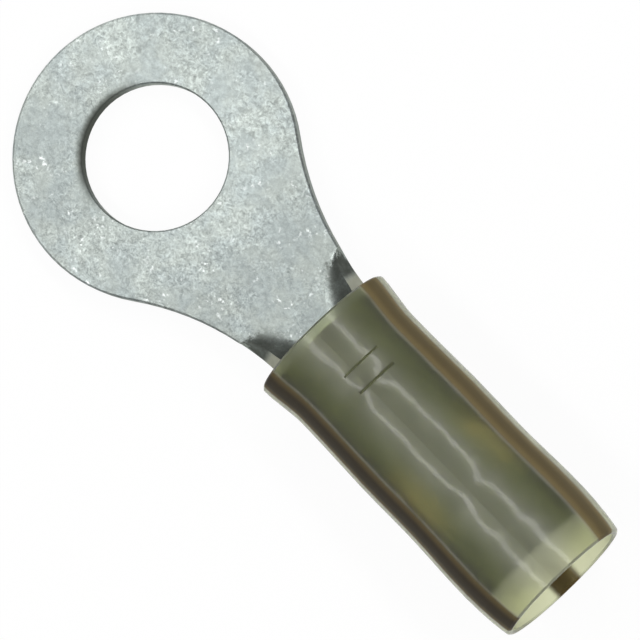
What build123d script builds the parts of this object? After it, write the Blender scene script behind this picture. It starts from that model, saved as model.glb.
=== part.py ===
from build123d import *
import math
import os

# Insulated ring terminal for 12-10 AWG wire and a 1/4 inch stud, in millimetres.
# The origin is the stud hole's centre on the tongue's underside. +X runs along the wire
# barrel to the wire entry, +Z points up out of the tongue, on the side of the barrel's seam.
# It is three pieces pressed together: a stamped and rolled metal body, a thin metal grip
# sleeve over its wire barrel, and a translucent plastic sleeve over both.

# Stamped body: ring tongue and neck
STOCK_T = 1.04  # thickness of the sheet
STUD_HOLE_D = 6.9  # clearance hole for the stud
TONGUE_W = 13.5  # width of the ring
NECK_W = 5.76  # width that the neck narrows to
NECK_FLANK_R = 14.0  # concave flank between the ring and the neck
EDGE_BREAK = 0.09  # sloping edge that the punch leaves along the upper outline
HOLE_BREAK = 0.07  # sloping edge round the top of the stud hole

# Scoop: the stretch where the flat neck turns up into the barrel. Its flat middle narrows to
# nothing between two slanting folds, and outside them two wings stand up more and more.
SCOOP_L = 3.0
FOLD_DEG = 30.0  # how steep the wings are before they roll up
ROLL_DEG = 60.0  # how far the folds turn where the barrel begins
ROLL_POWER = 6  # they turn that far late
FOLD_POWER = 0.6  # while the flat middle narrows early
FOLD_R = 2.2  # outside radius of the folds at their start
FOLD_SHARE = 0.8  # most that a fold takes of the width beside the flat middle
SCOOP_SPANS = 7
SPAN_POWER = 1.5  # the first spans are the shortest
FLAT_SPLIT = 0.8  # where the first section, all flat, is split into middle, folds and wings
ROUND_SPLIT_DEG = 5.0  # and the last, a half circle, into middle and folds

# Wire barrel
BARREL_OD = 5.68
BARREL_FRONT_X = 11.98
BARREL_L = 6.4
SEAM_GAP = 0.08  # butted seam along the top, measured on the outside
WIRE_CHAMFER = 0.2
SERRATION_COUNT = 3  # V-shaped grooves round the bore
SERRATION_W = 0.45
SERRATION_DEPTH = 0.12
SERRATION_PITCH = 1.5

# Grip sleeve
GRIP_SEAT = 0.02  # clearance on the barrel
GRIP_WALL = 0.2
GRIP_SETBACK = 0.05  # its front edge stands this far behind the barrel's
GRIP_L = 14.05
GRIP_STEP_GAP = 0.15  # the step begins this far behind the barrel
GRIP_STEP_L = 3.0
GRIP_STEP_R = 0.14  # how much the radius grows over the step
GRIP_EDGE_BREAK = 0.05  # at the end where the wire goes in

# Insulation sleeve
SLEEVE_SEAT = 0.02  # clearance on the grip sleeve
SLEEVE_REACH = 0.34  # how far it reaches in front of the barrel
SLEEVE_L = 16.16
WAIST_WALL = 0.49
BELL_L = 2.5  # from the front edge to the waist
BELL_RISE = 0.23  # how much the bell grows outside
BELL_FLARE = 0.17  # and inside
BELL_FLARE_L = 0.9
STEP_WALL = 0.57  # over the start of the grip sleeve's step
BACK_WALL = 0.41  # over the end of the step
REAR_WALL = 0.49  # over the rear of the grip sleeve
REAR_SETBACK = 0.35  # the rear swell's crest, in front of the grip sleeve's end
MOUTH_ROOM = 0.04  # how far the mouth's inside draws in from the grip sleeve's seat
MOUTH_WALL = 0.3
RIM_BREAK = 0.1  # at the front's outer edge and both edges of the mouth

# Two shallow creases across the top of the plastic sleeve
CREASE_X = 2.71  # first one, behind the sleeve's front edge
CREASE_PITCH = 1.06
CREASE_FROM_DEG = -8.0
CREASE_TO_DEG = 26.0
CREASE_W = 0.12  # across its mouth
CREASE_DEPTH = 0.06

# Sizes that follow from those above
ring_r = TONGUE_W / 2
neck_half = NECK_W / 2
flank_y = neck_half + NECK_FLANK_R
flank_x = math.sqrt((ring_r + NECK_FLANK_R) ** 2 - flank_y**2)
barrel_r = BARREL_OD / 2
bore_r = barrel_r - STOCK_T
axis_z = barrel_r  # the barrel's underside is level with the tongue's
barrel_end_x = BARREL_FRONT_X + BARREL_L
scoop_start_x = BARREL_FRONT_X - SCOOP_L
grip_in_r = barrel_r + GRIP_SEAT
grip_front_x = BARREL_FRONT_X + GRIP_SETBACK
grip_end_x = grip_front_x + GRIP_L
step_start_x = barrel_end_x + GRIP_STEP_GAP
step_end_x = step_start_x + GRIP_STEP_L
sleeve_in_r = grip_in_r + GRIP_WALL + SLEEVE_SEAT
sleeve_front_x = BARREL_FRONT_X - SLEEVE_REACH
sleeve_end_x = sleeve_front_x + SLEEVE_L
waist_r = sleeve_in_r + WAIST_WALL

BARREL_AXIS = Axis((0, 0, axis_z), (1, 0, 0))


def flank_half_width(x):
    """Half width of the neck, on the concave flank."""
    return flank_y - math.sqrt(NECK_FLANK_R**2 - (x - flank_x) ** 2)


def tongue():
    """Flat ring and neck, up to where the sides begin to curl."""
    tangent_x = flank_x * ring_r / (ring_r + NECK_FLANK_R)
    tangent_y = flank_y * ring_r / (ring_r + NECK_FLANK_R)
    end_y = flank_half_width(scoop_start_x)
    mid_x = (tangent_x + scoop_start_x) / 2
    mid_y = flank_half_width(mid_x)
    with BuildSketch() as outline:
        with BuildLine():
            ThreePointArc((tangent_x, tangent_y), (-ring_r, 0), (tangent_x, -tangent_y))
            ThreePointArc((tangent_x, -tangent_y), (mid_x, -mid_y), (scoop_start_x, -end_y))
            Line((scoop_start_x, -end_y), (scoop_start_x, end_y))
            ThreePointArc((scoop_start_x, end_y), (mid_x, mid_y), (tangent_x, tangent_y))
        make_face()
        Circle(STUD_HOLE_D / 2, mode=Mode.SUBTRACT)
    plate = extrude(outline.sketch, STOCK_T)
    hole = plate.edges().filter_by(GeomType.CIRCLE).sort_by(SortBy.RADIUS)[:2]
    return chamfer(hole.sort_by(Axis.Z)[-1], HOLE_BREAK)


def half_face(u, edge_y, inset):
    """Right half of one face of a section: three points along its fold, two along its wing."""
    if u == 0:
        return [(edge_y * (FLAT_SPLIT + (1 - FLAT_SPLIT) * i / 4), inset) for i in range(5)]
    if u == 1:
        r = barrel_r - inset
        fold_mid = (ROUND_SPLIT_DEG + ROLL_DEG) / 2
        wing_mid = (ROLL_DEG + 90) / 2
        turns = [math.radians(d) for d in (ROUND_SPLIT_DEG, fold_mid, ROLL_DEG, wing_mid, 90)]
        return [(r * math.sin(turn), barrel_r - r * math.cos(turn)) for turn in turns]
    flat_half = edge_y * (1 - u**FOLD_POWER)
    outer_r = FOLD_R + (barrel_r - FOLD_R) * u
    r = outer_r - inset
    steepest = math.radians(FOLD_DEG + (ROLL_DEG - FOLD_DEG) * u**ROLL_POWER)
    fold = min(steepest, math.asin(FOLD_SHARE * (edge_y - flat_half) / outer_r))
    wing = (edge_y - flat_half - outer_r * math.sin(fold)) / math.cos(fold)
    turns = (0, fold / 2, fold)
    points = [(flat_half + r * math.sin(turn), outer_r - r * math.cos(turn)) for turn in turns]
    fold_y, fold_z = points[-1]
    for run in (wing / 2, wing):
        points.append((fold_y + run * math.cos(fold), fold_z + run * math.sin(fold)))
    return points


def strip(start, middle, end):
    """Line through three points: straight, or an arc."""
    rise = (middle[1] - start[1]) * (end[0] - start[0])
    run = (middle[0] - start[0]) * (end[1] - start[1])
    if math.isclose(rise, run, abs_tol=1e-9):
        return Line(start, end)
    return ThreePointArc(start, middle, end)


def scoop_section(u):
    """Section of the sheet, flat at u = 0 and half a tube at u = 1."""
    x = scoop_start_x + u * SCOOP_L
    plane = Plane(origin=(x, 0, 0), x_dir=(0, 1, 0), z_dir=(1, 0, 0))
    edge_y = flank_half_width(x) * (1 - u**2) + barrel_r * u**2
    outline = []
    for inset in (0, STOCK_T):
        right = half_face(u, edge_y, inset)
        left = [(-y, z) for y, z in right]
        outline += [strip(left[4], left[3], left[2]), strip(left[2], left[1], left[0])]
        outline.append(strip(left[0], (0, inset), right[0]))
        outline += [strip(right[0], right[1], right[2]), strip(right[2], right[3], right[4])]
    outer, inner = outline[:5], outline[5:]
    outline += [Line(outer[0] @ 0, inner[0] @ 0), Line(outer[-1] @ 1, inner[-1] @ 1)]
    return plane * make_face(outline)


def scoop():
    """Neck whose sides turn up until it is the lower half of the barrel."""
    stations = [(i / SCOOP_SPANS) ** SPAN_POWER for i in range(SCOOP_SPANS + 1)]
    return loft([scoop_section(u) for u in stations], ruled=True)


def turned(profile, from_deg=0, sweep_deg=360):
    """Turn a closed profile, drawn as (x, radius), about the barrel's axis."""
    upright = Plane(origin=(0, 0, axis_z), x_dir=(1, 0, 0), z_dir=(0, -1, 0))
    placed = (upright * profile).rotate(BARREL_AXIS, -from_deg)
    return revolve(placed, BARREL_AXIS, sweep_deg)


def barrel():
    """Rolled tube with its seam on top, serrated inside."""
    serrated_l = SERRATION_PITCH * (SERRATION_COUNT - 1) + SERRATION_W
    x = BARREL_FRONT_X + (BARREL_L - serrated_l) / 2
    inside = [(BARREL_FRONT_X, bore_r)]
    for _ in range(SERRATION_COUNT):
        bottom = (x + SERRATION_W / 2, bore_r + SERRATION_DEPTH)
        inside += [(x, bore_r), bottom, (x + SERRATION_W, bore_r)]
        x += SERRATION_PITCH
    rear = [(barrel_end_x - WIRE_CHAMFER, bore_r), (barrel_end_x, bore_r + WIRE_CHAMFER)]
    outside = [(barrel_end_x, barrel_r), (BARREL_FRONT_X, barrel_r)]
    wall = make_face(Polyline(inside + rear + outside, close=True))
    seam_deg = math.degrees(SEAM_GAP / barrel_r)
    return turned(wall, seam_deg / 2, 360 - seam_deg)


def terminal_body():
    """The whole stamping, its upper edges sloping from the ring to the scoop."""
    body = tongue() + scoop() + barrel()
    arcs = body.edges().filter_by(GeomType.CIRCLE).filter_by_position(Axis.Z, STOCK_T, STOCK_T)
    outline = arcs.sort_by(SortBy.RADIUS)[1:]
    return chamfer(outline, EDGE_BREAK)


def stepped(radius):
    """Line along the grip sleeve, from its front to its rear, that widens over the step."""
    wide = radius + GRIP_STEP_R
    return (
        Line((grip_front_x, radius), (step_start_x, radius))
        + Spline((step_start_x, radius), (step_end_x, wide), tangents=[(1, 0), (1, 0)])
        + Line((step_end_x, wide), (grip_end_x, wide))
    )


def grip_sleeve():
    """Thin metal tube over the barrel, wider behind it for the wire's insulation."""
    inner = stepped(grip_in_r)
    outer = stepped(grip_in_r + GRIP_WALL)
    front = Line(inner @ 0, outer @ 0)
    rear = Line(inner @ 1, outer @ 1)
    tube = turned(make_face(inner + outer + front + rear))
    rims = tube.edges().filter_by(GeomType.CIRCLE).group_by(Axis.X)
    return chamfer(rims[-1], GRIP_EDGE_BREAK)


def sleeve_outside():
    """Outline of the plastic sleeve: belled front, waist, rear swell, drawn-in mouth."""
    wide_in_r = sleeve_in_r + GRIP_STEP_R
    waist_x = sleeve_front_x + BELL_L
    bell = Spline(
        (sleeve_front_x, waist_r + BELL_RISE), (waist_x, waist_r), tangents=[(1, 0), (1, 0)]
    )
    run = Spline(
        (waist_x, waist_r),
        (step_start_x, sleeve_in_r + STEP_WALL),
        (step_end_x, wide_in_r + BACK_WALL),
        (grip_end_x - REAR_SETBACK, wide_in_r + REAR_WALL),
        (sleeve_end_x, wide_in_r - MOUTH_ROOM + MOUTH_WALL),
        tangents=[(1, 0), (1, -0.2)],
    )
    return bell + run


def sleeve_inside():
    """Outline of its inside, which follows the grip sleeve."""
    wide = sleeve_in_r + GRIP_STEP_R
    flare_end_x = sleeve_front_x + BELL_FLARE_L
    flare = Spline(
        (sleeve_front_x, sleeve_in_r + BELL_FLARE),
        (flare_end_x, sleeve_in_r),
        tangents=[(1, -0.3), (1, 0)],
    )
    mouth = Spline(
        (grip_end_x, wide), (sleeve_end_x, wide - MOUTH_ROOM), tangents=[(1, 0), (1, -0.05)]
    )
    return (
        flare
        + Line((flare_end_x, sleeve_in_r), (step_start_x, sleeve_in_r))
        + Spline((step_start_x, sleeve_in_r), (step_end_x, wide), tangents=[(1, 0), (1, 0)])
        + Line((step_end_x, wide), (grip_end_x, wide))
        + mouth
    )


def insulation_sleeve():
    """Translucent tube with two creases across its top."""
    outside = sleeve_outside()
    inside = sleeve_inside()
    front = Line(inside @ 0, outside @ 0)
    rear = Line(inside @ 1, outside @ 1)
    tube = turned(make_face(inside + outside + front + rear))
    rims = tube.edges().filter_by(GeomType.CIRCLE).group_by(Axis.X)
    front_rim = rims[0].sort_by(SortBy.RADIUS)[-1]
    tube = chamfer([front_rim, *rims[-1]], RIM_BREAK)
    for i in range(2):
        x = sleeve_front_x + CREASE_X + i * CREASE_PITCH
        bottom = (x, waist_r - CREASE_DEPTH)
        left = (x - CREASE_W, waist_r + CREASE_DEPTH)
        right = (x + CREASE_W, waist_r + CREASE_DEPTH)
        crease = make_face(Polyline(bottom, left, right, close=True))
        tube -= turned(crease, CREASE_TO_DEG, CREASE_TO_DEG - CREASE_FROM_DEG)
    return tube


NODES = {
    "terminal_body": terminal_body,
    "grip_sleeve": grip_sleeve,
    "insulation_sleeve": insulation_sleeve,
}

os.makedirs("parts", exist_ok=True)
for name, make in NODES.items():
    export_step(make(), f"parts/{name}.step")
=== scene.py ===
import math

import bpy
from mathutils import Matrix, Vector


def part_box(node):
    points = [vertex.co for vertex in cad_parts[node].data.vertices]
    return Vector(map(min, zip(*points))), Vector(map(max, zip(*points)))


# Insulated ring terminal on a white floor, seen from above. Lengths are in metres, and those of the
# materials in millimetres, all in the frame of the CAD model: +X runs along the barrel to the wire
# entry, +Z points up. Colours are in linear light.

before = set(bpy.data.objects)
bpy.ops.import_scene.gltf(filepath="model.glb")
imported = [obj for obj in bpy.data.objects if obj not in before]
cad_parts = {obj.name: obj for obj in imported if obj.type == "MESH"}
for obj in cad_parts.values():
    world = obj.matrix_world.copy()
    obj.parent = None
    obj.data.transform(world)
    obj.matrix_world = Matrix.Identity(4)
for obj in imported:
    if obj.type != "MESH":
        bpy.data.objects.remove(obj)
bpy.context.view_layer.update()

MM = 0.001
barrel_low, barrel_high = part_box("grip_sleeve")
AXIS_Z_MM = (barrel_low.z + barrel_high.z) / 2 / MM  # height of the barrel's axis
METAL_END_MM = barrel_high.x / MM  # where the metal inside the plastic sleeve ends

# Camera: how far it leans from straight above, towards the wire entry and to one side
CAMERA_LEAN_X = math.radians(8.3)
CAMERA_LEAN_Y = math.radians(3.0)
CAMERA_DISTANCE = 0.5
AIM = Vector((10.89, 0.245, 1.04)) * MM
VIEW_WIDTH = 29.66 * MM
PART_TURN = math.radians(46)  # the barrel points down to the right in the picture
SENSOR = 36.0

# Two long strip lamps, parallel to the barrel, on both sides of the camera
STRIP_ANGLES = (math.radians(28.4), math.radians(-20.6))
STRIP_DISTANCE = 0.25
STRIP_WIDTH = 0.036
STRIP_LENGTH = 0.5
STRIP_RADIANCE = 5.5

# Sky: bright overhead and dim round the sides, with the heights of a direction where it changes
SKY_TOP = 0.75
SKY_SIDE = 0.08
SKY_FADE_FROM = 0.35
SKY_FADE_TO = 0.85

FLOOR_RADIUS = 0.6
FLOOR_GREY = 0.9
FLOOR_SHOWN_WHITE = 0.94  # share of the floor's look that is plain white

# A noise pattern's values mostly lie between these two
CLOUD_LOW = 0.3
CLOUD_HIGH = 0.7

# Tin plating
TIN_DARK = (0.46, 0.515, 0.505, 1)
TIN_LIGHT = (0.51, 0.56, 0.53, 1)
TIN_SPECK = (0.84, 0.88, 0.87, 1)
TIN_PIT = (0.24, 0.25, 0.23, 1)
TIN_LOW_ANGLE = (0.4, 0.41, 0.37, 1)  # tint of what the plating mirrors at a low angle
RING_TONE = 0.96
NECK_TONE = 0.81  # the neck is darker than the ring
SIDE_TONE = 0.84  # and the side of -Y darker than that of +Y
TIN_BUMP_MM = 0.02

# Painted shade, dark and matt, on the curls: where it starts on the axis, how far out, and how fast
# it widens
PAINTED_SHADE_COLOUR = (0.12, 0.13, 0.115, 1)
PAINTED_SHADE_MATT = 0.4  # how much rougher the plating is under the painted shade
CURL_SHADE_X = 9.25
CURL_SHADE_Y = 2.05
CURL_SHADE_SLOPE = 0.54
CURL_SHADE_RAGGED = 2.0
CURL_SHADE_FLOOR = 0.2  # the painted shade keeps this far above the sheet's underside

# Cut edge of the sheet, under the painted shade at first and then in its own colour
CUT_COLOUR = (0.34, 0.345, 0.285, 1)
CUT_START_X = 10.2
CUT_FULL_X = 10.7

# Painted shade along part of the stud hole's edge
HOLE_R = 3.45
HOLE_SHADE_W = 0.5
HOLE_SHADE_TURN = math.radians(206)

# Plating of the grip sleeve, painted dark as shade under the nylon, with painted light on its flanks
# and painted warm reflections on both sides of its step
GRIP_SHADED_DARK = (0.065, 0.07, 0.06, 1)
GRIP_SHADED_LIGHT = (0.10, 0.106, 0.095, 1)
GRIP_FLANK_PAINTED_LIGHT = 2.4  # painted light: how much lighter its flanks are painted than its top
GRIP_BUMP_MM = 0.02
WARM_REFLECTION_COLOUR = (0.92, 0.72, 0.54, 1)
WARM_REFLECTION_ALONG = (17.9, 20.3, 21.2, 23.6)  # on the axis: start, full, full, end
WARM_REFLECTION_AROUND = (18, 44, 58, 88)  # the same in degrees from the top
WARM_REFLECTION_SKEW = 3.0  # degrees that the painted warm reflections sit to the side of +Y
WARM_REFLECTION_STRENGTH = 1.3

# Nylon sleeve, over the metal and past its end, where it is painted lighter and less clear as
# painted light
NYLON_OVER_METAL = (0.85, 0.87, 0.60, 1)
NYLON_PAINTED_LIT_PAST_METAL = (0.92, 0.94, 0.68, 1)
NYLON_DEPTH = (0.62, 0.64, 0.44, 1)  # tint after a millimetre of it
CLEAR_OVER_METAL = 0.96
CLEAR_PAST_METAL = 0.88

# Painted shade: brown stripes in the nylon, in degrees round its axis, each with an edge and a
# middle colour, and darker on the side of -Y
STRIPE_COUNT = 3
STRIPE_PITCH = 360 / STRIPE_COUNT
STRIPE_TURN = 61.5
STRIPE_HALF = 9.5
STRIPE_SOFT = 8.0
STRIPE_FAINT = 0.75  # strength of the painted shade stripe on the side of +Y
STRIPE_LOW = 0.6  # strength of the lowest stripe
STRIPE_LOW_Z = (0.5, 1.5)  # the lowest stripe is below the first height, the others above the second
STRIPE_RADIUS = 3.36  # the upper stripes lie in the skin outside this radius
STRIPE_RADIUS_SOFT = 0.06
STRIPE_CLEAR = 0.1
SHADE_BAND_EDGE_MINUS_Y = (0.10, 0.072, 0.026, 1)
SHADE_BAND_EDGE_PLUS_Y = (0.18, 0.135, 0.052, 1)
SHADE_BAND_MIDDLE_MINUS_Y = (0.024, 0.016, 0.004, 1)
SHADE_BAND_MIDDLE_PLUS_Y = (0.070, 0.050, 0.015, 1)

# Unevenness of the sleeve's surface, and its lumps as (place on the axis, height)
WAVE_HEIGHT = 0.10
FINE_HEIGHT = 0.010
LUMPS = ((13.9, 0.05), (15.6, 0.12), (22.0, 0.09), (24.6, 0.04))
LUMP_HALF_X = 0.5
LUMP_HALF_Y = 1.0


def add(tree, kind, values=None, **settings):
    """A new node with its settings, and its inputs as numbers or as links."""
    node = tree.nodes.new("ShaderNode" + kind)
    for name, value in settings.items():
        setattr(node, name, value)
    for name, value in (values or {}).items():
        if isinstance(value, bpy.types.NodeSocket):
            tree.links.new(value, node.inputs[name])
        else:
            node.inputs[name].default_value = value
    return node


def new_material(name):
    """An empty material, with its node tree and its output node."""
    material = bpy.data.materials.new(name)
    material.use_nodes = True
    tree = material.node_tree
    tree.nodes.clear()
    return material, tree, add(tree, "OutputMaterial")


def math_node(tree, operation, *values, clamp=False):
    """The result of a Math node."""
    inputs = dict(enumerate(values))
    return add(tree, "Math", inputs, operation=operation, use_clamp=clamp).outputs[0]


def product(tree, first, *others):
    """All the values multiplied with one another."""
    for other in others:
        first = math_node(tree, "MULTIPLY", first, other)
    return first


def distance(tree, across, up):
    """Distance from the place where both values are 0."""
    squares = math_node(tree, "ADD", product(tree, across, across), product(tree, up, up))
    return math_node(tree, "SQRT", squares)


def ramp(tree, value, low, high, start=0.0, end=1.0):
    """Smooth step from start to end while value goes from low to high."""
    inputs = {"Value": value, "From Min": low, "From Max": high, "To Min": start, "To Max": end}
    return add(tree, "MapRange", inputs, interpolation_type="SMOOTHSTEP").outputs[0]


def hump(tree, value, start, full, fall, end):
    """0 outside start and end, 1 from full to fall."""
    return product(tree, ramp(tree, value, start, full), ramp(tree, value, end, fall))


def bell_curve(tree, value, middle, half):
    """1 where the value is at the middle, falling to 0 over about twice the half width."""
    away = math_node(tree, "DIVIDE", math_node(tree, "SUBTRACT", value, middle), half)
    return math_node(tree, "EXPONENT", product(tree, away, away, -1.0))


def millimetres(tree):
    """Places on the piece, in millimetres."""
    place = add(tree, "TexCoord").outputs["Object"]
    return add(tree, "VectorMath", {0: place, "Scale": 1 / MM}, operation="SCALE").outputs[0]


def noise(tree, place, scale, detail=2.0, roughness=0.5, distortion=0.0):
    """Cloudy pattern around 0.5, with about scale blobs to the millimetre."""
    inputs = {
        "Vector": place,
        "Scale": scale,
        "Detail": detail,
        "Roughness": roughness,
        "Distortion": distortion,
    }
    return add(tree, "TexNoise", inputs).outputs["Fac"]


def clouds(tree, place, start, end, scale, *grain):
    """Cloudy pattern whose values run from start to end."""
    return ramp(tree, noise(tree, place, scale, *grain), CLOUD_LOW, CLOUD_HIGH, start, end)


def mix_colour(tree, share, first, second, blend="MIX"):
    """Colour between the first and the second."""
    node = add(tree, "Mix", {0: share, 6: first, 7: second}, data_type="RGBA", blend_type=blend)
    return node.outputs[2]


def grey(value):
    return (value, value, value, 1)


def split(tree, place):
    """The three coordinates of a place."""
    return add(tree, "SeparateXYZ", {0: place}).outputs


def round_barrel(tree, place):
    """Angle round the barrel's axis in degrees, 0 on top and 90 at +Y, and distance from it."""
    _, y, z = split(tree, place)
    height = math_node(tree, "SUBTRACT", z, AXIS_Z_MM)
    turn = math_node(tree, "DEGREES", math_node(tree, "ARCTAN2", y, height))
    return turn, distance(tree, y, height)


def facing_middle(tree, place):
    """How far the surface leans towards the part's long axis, below 0 where it leans away."""
    normal = add(tree, "NewGeometry").outputs["True Normal"]
    side = math_node(tree, "SIGN", split(tree, place)[1])
    return product(tree, split(tree, normal)[1], side, -1.0)


def hole_shade(tree, place):
    """0 away from the stud hole, up to 1 along the part of its edge with painted shade."""
    x, y, _ = split(tree, place)
    near = ramp(tree, distance(tree, x, y), HOLE_R + HOLE_SHADE_W, HOLE_R)
    turn = math_node(tree, "SUBTRACT", math_node(tree, "ARCTAN2", y, x), HOLE_SHADE_TURN)
    return product(tree, near, ramp(tree, math_node(tree, "COSINE", turn), 0.2, 1.0))


def curl_painted_shade(tree, place, inward):
    """Up to 1 for the painted shade on the sheet where it curls up into the barrel, with a ragged
    start.
    """
    x, y, z = split(tree, place)
    past = math_node(tree, "SUBTRACT", x, CURL_SHADE_X)
    out = math_node(tree, "MULTIPLY_ADD", past, CURL_SHADE_SLOPE, math_node(tree, "ABSOLUTE", y))
    out = ramp(tree, out, CURL_SHADE_Y - 0.55, CURL_SHADE_Y + 0.75)
    ragged = math_node(tree, "MULTIPLY_ADD", noise(tree, place, 3.0, 4, 0.7), CURL_SHADE_RAGGED, past)
    on_top = ramp(tree, inward, -0.04, 0.02)
    before_cut = ramp(tree, x, CUT_FULL_X, CUT_START_X)
    return product(
        tree,
        out,
        ramp(tree, ragged, 0.8, 1.2),
        math_node(tree, "MAXIMUM", on_top, before_cut),
        ramp(tree, z, CURL_SHADE_FLOOR, CURL_SHADE_FLOOR + 0.3),
        ramp(tree, noise(tree, place, 1.4, 3), 0.25, 0.6, 0.7, 0.95),
    )


def tin_mottle(tree, place):
    """Factor around 1: scaly grain, livelier in some places than in others."""
    scales = clouds(tree, place, 0.73, 1.27, 3.4, 6, 0.72, 1.2)
    grain = clouds(tree, place, 0.86, 1.14, 9.0, 3, 0.7)
    mottle = math_node(tree, "SUBTRACT", product(tree, scales, grain), 1.0)
    lively = ramp(tree, noise(tree, place, 0.6), 0.36, 0.60, 0.5, 1.25)
    return math_node(tree, "MULTIPLY_ADD", mottle, lively, 1.0)


def tin_colour(tree, place):
    """The plating without the painted shade, with bright specks and dark pits in loose groups."""
    x, y, _ = split(tree, place)
    cloud = ramp(tree, noise(tree, place, 0.7, 4, 0.6), 0.36, 0.64)
    colour = mix_colour(tree, cloud, TIN_DARK, TIN_LIGHT)
    tone = product(
        tree,
        clouds(tree, place, 0.95, 1.04, 0.3),
        ramp(tree, x, 3, 8, RING_TONE, NECK_TONE),
        ramp(tree, y, 3, -5, 1.0, SIDE_TONE),
    )
    tone = product(tree, tone, tin_mottle(tree, place))
    colour = mix_colour(tree, 1.0, colour, tone, "MULTIPLY")
    specks = ramp(tree, noise(tree, place, 4.5, 3), 0.58, 0.72)
    specks = product(tree, specks, ramp(tree, noise(tree, place, 0.9), 0.5, 0.66))
    colour = mix_colour(tree, specks, colour, TIN_SPECK)
    pits = ramp(tree, noise(tree, place, 3.6, 3, 0.6), 0.40, 0.28, 0, 0.7)
    pits = product(tree, pits, ramp(tree, noise(tree, place, 0.8, 1), 0.42, 0.28))
    return mix_colour(tree, pits, colour, TIN_PIT)


def tin():
    """Matt tin plating: mottled grey with a scaly grain, with painted shade where the sheet curls up
    and along part of the stud hole's edge.
    """
    material, tree, output = new_material("tin_plating")
    place = millimetres(tree)
    inward = facing_middle(tree, place)
    # Painted shade: the curls and part of the stud hole's edge are mixed towards a dark colour
    dark = math_node(tree, "MAXIMUM", curl_painted_shade(tree, place, inward), hole_shade(tree, place))
    colour = mix_colour(tree, dark, tin_colour(tree, place), PAINTED_SHADE_COLOUR)
    past_start = ramp(tree, split(tree, place)[0], CUT_START_X, CUT_FULL_X)
    cut = product(tree, ramp(tree, inward, -0.3, -0.5), past_start)
    colour = mix_colour(tree, cut, colour, CUT_COLOUR)
    rough = clouds(tree, place, 0.30, 0.42, 3.0, 3)
    rough = math_node(tree, "MULTIPLY_ADD", dark, PAINTED_SHADE_MATT, rough)
    height = noise(tree, place, 5.0, 4, 0.6)
    bump = add(tree, "Bump", {"Height": height, "Strength": 0.4, "Distance": TIN_BUMP_MM * MM})
    shader = add(
        tree,
        "BsdfPrincipled",
        {
            "Base Color": colour,
            "Metallic": 1.0,
            "Roughness": rough,
            "Specular Tint": TIN_LOW_ANGLE,
            "Normal": bump.outputs[0],
        },
    )
    tree.links.new(shader.outputs[0], output.inputs["Surface"])
    return material


def grip_metal():
    """The grip sleeve's plating, painted dark as shade under the nylon, painted lighter on its
    flanks, with painted warm reflections on both sides of its step.
    """
    material, tree, output = new_material("grip_plating")
    place = millimetres(tree)
    # Painted shade: the grip plating is painted far darker than the tin, as under the nylon's shade
    colour = mix_colour(tree, clouds(tree, place, 0, 1, 1.2, 3), GRIP_SHADED_DARK, GRIP_SHADED_LIGHT)
    turn = math_node(tree, "SUBTRACT", round_barrel(tree, place)[0], WARM_REFLECTION_SKEW)
    side = math_node(tree, "ABSOLUTE", turn)
    # Painted light: the flanks, away from the top, are painted lighter
    colour = mix_colour(tree, 1.0, colour, ramp(tree, side, 10, 42, 1.0, GRIP_FLANK_PAINTED_LIGHT), "MULTIPLY")
    # Painted warm reflection on both sides of the step
    along = hump(tree, split(tree, place)[0], *WARM_REFLECTION_ALONG)
    around = hump(tree, side, *WARM_REFLECTION_AROUND)
    blots = product(tree, noise(tree, place, 0.8), WARM_REFLECTION_STRENGTH)
    warm = math_node(tree, "MULTIPLY", product(tree, along, around), blots, clamp=True)
    colour = mix_colour(tree, warm, colour, WARM_REFLECTION_COLOUR)
    rough = clouds(tree, place, 0.65, 0.8, 4.0, 3)
    height = noise(tree, place, 5.0, 3)
    bump = add(tree, "Bump", {"Height": height, "Strength": 0.3, "Distance": GRIP_BUMP_MM * MM})
    shader = add(
        tree,
        "BsdfPrincipled",
        {"Base Color": colour, "Metallic": 0.1, "Roughness": rough, "Normal": bump.outputs[0]},
    )
    tree.links.new(shader.outputs[0], output.inputs["Surface"])
    return material


def shade_bands(tree, place):
    """Up to 1 on the sleeve's brown stripes of painted shade, which run along it, and 0 between
    them.
    """
    turn, radius = round_barrel(tree, place)
    turn = math_node(tree, "DIVIDE", math_node(tree, "SUBTRACT", turn, STRIPE_TURN), STRIPE_PITCH)
    away = math_node(tree, "ABSOLUTE", math_node(tree, "WRAP", turn, 0.5, -0.5))
    away = product(tree, away, STRIPE_PITCH)
    stripes = ramp(tree, away, STRIPE_HALF + STRIPE_SOFT, STRIPE_HALF - STRIPE_SOFT)
    _, y, z = split(tree, place)
    low_z, high_z = STRIPE_LOW_Z
    strength = product(
        tree,
        ramp(tree, y, 1, 2, 1, STRIPE_FAINT),
        ramp(tree, z, low_z, high_z, STRIPE_LOW, 1),
    )
    inner = STRIPE_RADIUS - STRIPE_RADIUS_SOFT
    outer = STRIPE_RADIUS + STRIPE_RADIUS_SOFT
    skin = ramp(tree, radius, inner, outer)
    skin = math_node(tree, "MAXIMUM", skin, ramp(tree, z, high_z, low_z))
    return product(tree, stripes, product(tree, strength, skin))


def moulded_height(tree, place):
    """Height of the sleeve's uneven surface in millimetres: slow waves, and lumps along its top."""
    x, y, _ = split(tree, place)
    waves = product(tree, noise(tree, place, 0.42, 1), WAVE_HEIGHT)
    fine = product(tree, noise(tree, place, 1.6), FINE_HEIGHT)
    height = math_node(tree, "ADD", waves, fine)
    ridge = bell_curve(tree, y, 0.0, LUMP_HALF_Y)
    for lump_x, lump_height in LUMPS:
        lump = product(tree, bell_curve(tree, x, lump_x, LUMP_HALF_X), ridge)
        height = math_node(tree, "MULTIPLY_ADD", lump, lump_height, height)
    return height


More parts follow.
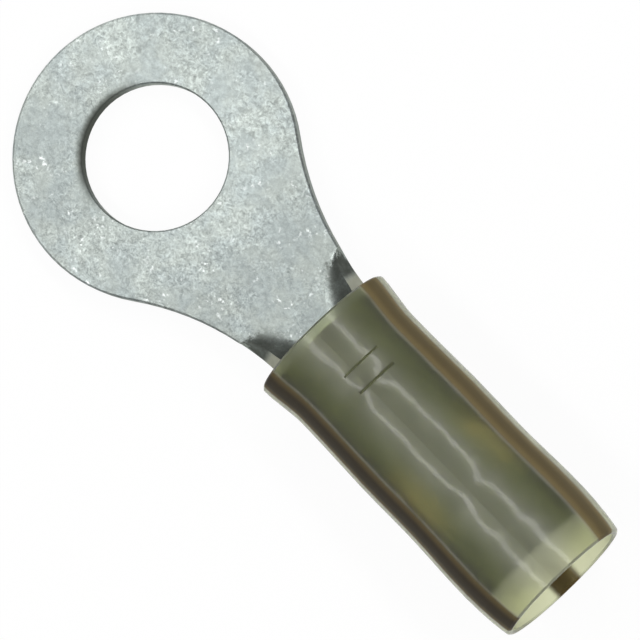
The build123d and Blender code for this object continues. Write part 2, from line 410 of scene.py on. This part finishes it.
def nylon():
    """Translucent olive nylon, a little milky, painted lighter where no metal is under it, with
    brown stripes of painted shade.
    """
    material, tree, output = new_material("clear_nylon")
    place = millimetres(tree)
    x, y, _ = split(tree, place)
    # Painted light: past the metal's end the nylon is painted lighter and less clear
    past_metal = ramp(tree, x, METAL_END_MM - 0.1, METAL_END_MM + 0.35)
    colour = mix_colour(tree, past_metal, NYLON_OVER_METAL, NYLON_PAINTED_LIT_PAST_METAL)
    clearness = ramp(tree, past_metal, 0, 1, CLEAR_OVER_METAL, CLEAR_PAST_METAL)
    # Painted shade: brown stripes along the sleeve, darker on the side of -Y
    stripes = shade_bands(tree, place)
    side = ramp(tree, y, -1, 1)
    edge = mix_colour(tree, side, SHADE_BAND_EDGE_MINUS_Y, SHADE_BAND_EDGE_PLUS_Y)
    middle = mix_colour(tree, side, SHADE_BAND_MIDDLE_MINUS_Y, SHADE_BAND_MIDDLE_PLUS_Y)
    colour = mix_colour(tree, ramp(tree, stripes, 0, 0.3), colour, edge)
    colour = mix_colour(tree, ramp(tree, stripes, 0.3, 1), colour, middle)
    clearness = product(tree, clearness, ramp(tree, stripes, 0.02, 0.45, 1, STRIPE_CLEAR))
    rough = clouds(tree, place, 0.30, 0.38, 1.5)
    height = moulded_height(tree, place)
    bump = add(tree, "Bump", {"Height": height, "Strength": 1.0, "Distance": MM})
    shader = add(
        tree,
        "BsdfPrincipled",
        {
            "Base Color": colour,
            "Roughness": rough,
            "IOR": 1.53,
            "Specular IOR Level": 0.0,
            "Coat Weight": 0.15,
            "Coat IOR": 1.8,
            "Coat Roughness": 0.07,
            "Transmission Weight": clearness,
            "Normal": bump.outputs[0],
            "Coat Normal": bump.outputs[0],
        },
    )
    absorb = add(tree, "VolumeAbsorption", {"Color": NYLON_DEPTH, "Density": 1 / MM})
    tree.links.new(shader.outputs[0], output.inputs["Surface"])
    tree.links.new(absorb.outputs[0], output.inputs["Volume"])
    return material


def wear(node, material):
    """Give a CAD node its material."""
    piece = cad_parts[node]
    piece.data.materials.clear()
    piece.data.materials.append(material)


def lean_direction(lean_x, lean_y):
    return Vector((math.tan(lean_x), math.tan(lean_y), 1)).normalized()


def make_camera():
    """A long lens far away, looking down on the part."""
    back = lean_direction(CAMERA_LEAN_X, CAMERA_LEAN_Y)
    side = back.cross(Vector((1, 0, 0))).normalized()
    along = side.cross(back)
    right = along * math.cos(PART_TURN) + side * math.sin(PART_TURN)
    up = back.cross(right)
    data = bpy.data.cameras.new("camera")
    data.sensor_width = SENSOR
    data.lens = SENSOR * CAMERA_DISTANCE / VIEW_WIDTH
    camera = bpy.data.objects.new("camera", data)
    bpy.context.collection.objects.link(camera)
    turn = Matrix((right, up, back)).transposed().to_4x4()
    camera.matrix_world = Matrix.Translation(AIM + back * CAMERA_DISTANCE) @ turn
    bpy.context.scene.camera = camera


def make_strip(name, angle):
    """A long soft lamp parallel to the barrel, angle away from straight above it."""
    out = Vector((0, math.sin(angle), math.cos(angle)))
    along = Vector((1, 0, 0))
    data = bpy.data.lights.new(name, "AREA")
    data.shape = "RECTANGLE"
    data.size = STRIP_LENGTH
    data.size_y = STRIP_WIDTH
    data.energy = STRIP_RADIANCE * math.pi * STRIP_LENGTH * STRIP_WIDTH
    lamp = bpy.data.objects.new(name, data)
    bpy.context.collection.objects.link(lamp)
    turn = Matrix((along, out.cross(along), out)).transposed().to_4x4()
    lamp.matrix_world = Matrix.Translation(AIM + out * STRIP_DISTANCE) @ turn


def make_sky():
    """Bright overhead, dim round the sides, white to the camera."""
    world = bpy.data.worlds.new("sky")
    world.use_nodes = True
    tree = world.node_tree
    tree.nodes.clear()
    direction = add(tree, "TexCoord").outputs["Generated"]
    height = split(tree, direction)[2]
    glow = ramp(tree, height, SKY_FADE_FROM, SKY_FADE_TO, SKY_SIDE, SKY_TOP)
    rays = add(tree, "LightPath").outputs
    light = add(tree, "Background", {"Color": grey(1), "Strength": glow})
    white = add(tree, "Background", {"Color": grey(1), "Strength": 1.0})
    mix = add(
        tree,
        "MixShader",
        {0: rays["Is Camera Ray"], 1: light.outputs[0], 2: white.outputs[0]},
    )
    output = add(tree, "OutputWorld")
    tree.links.new(mix.outputs[0], output.inputs["Surface"])
    bpy.context.scene.world = world


def floor_material():
    """White to the camera, with the part's shadow, and not there from below."""
    material, tree, output = new_material("floor_white")
    rays = add(tree, "LightPath").outputs
    straight = math_node(tree, "MAXIMUM", rays["Is Camera Ray"], rays["Is Glossy Ray"])
    straight = math_node(tree, "MAXIMUM", straight, rays["Is Transmission Ray"])
    share = product(tree, straight, FLOOR_SHOWN_WHITE)
    matt = add(tree, "BsdfDiffuse", {"Color": grey(FLOOR_GREY)})
    white = add(tree, "Emission", {"Color": grey(1), "Strength": 1.0})
    front = add(tree, "MixShader", {0: share, 1: matt.outputs[0], 2: white.outputs[0]})
    below = add(tree, "NewGeometry").outputs["Backfacing"]
    clear = add(tree, "BsdfTransparent")
    both = add(tree, "MixShader", {0: below, 1: front.outputs[0], 2: clear.outputs[0]})
    tree.links.new(both.outputs[0], output.inputs["Surface"])
    return material


def make_floor():
    """Disc under the part, through the tongue's tip and the bottom of the sleeve's bell."""
    tip = Vector((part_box("terminal_body")[0].x, 0, 0))
    low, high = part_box("insulation_sleeve")
    bell = Vector((low.x, 0, low.z))
    slope = (bell - tip).normalized()
    normal = slope.cross(Vector((0, -1, 0))).normalized()
    if normal.z < 0:
        normal.negate()
    bpy.ops.mesh.primitive_circle_add(vertices=96, radius=FLOOR_RADIUS, fill_type="NGON")
    floor = bpy.context.active_object
    floor.name = "floor"
    side = Vector((0, 1, 0))
    turn = Matrix((side.cross(normal), side, normal)).transposed().to_4x4()
    middle = tip + slope * ((high.x - tip.x) / 2)
    floor.matrix_world = Matrix.Translation(middle) @ turn
    floor.data.materials.append(floor_material())


scene = bpy.context.scene
scene.view_settings.view_transform = "Standard"

wear("terminal_body", tin())
wear("grip_sleeve", grip_metal())
wear("insulation_sleeve", nylon())
make_floor()
make_sky()
for strip_name, strip_angle in zip(("strip_left", "strip_right"), STRIP_ANGLES):
    make_strip(strip_name, strip_angle)
make_camera()
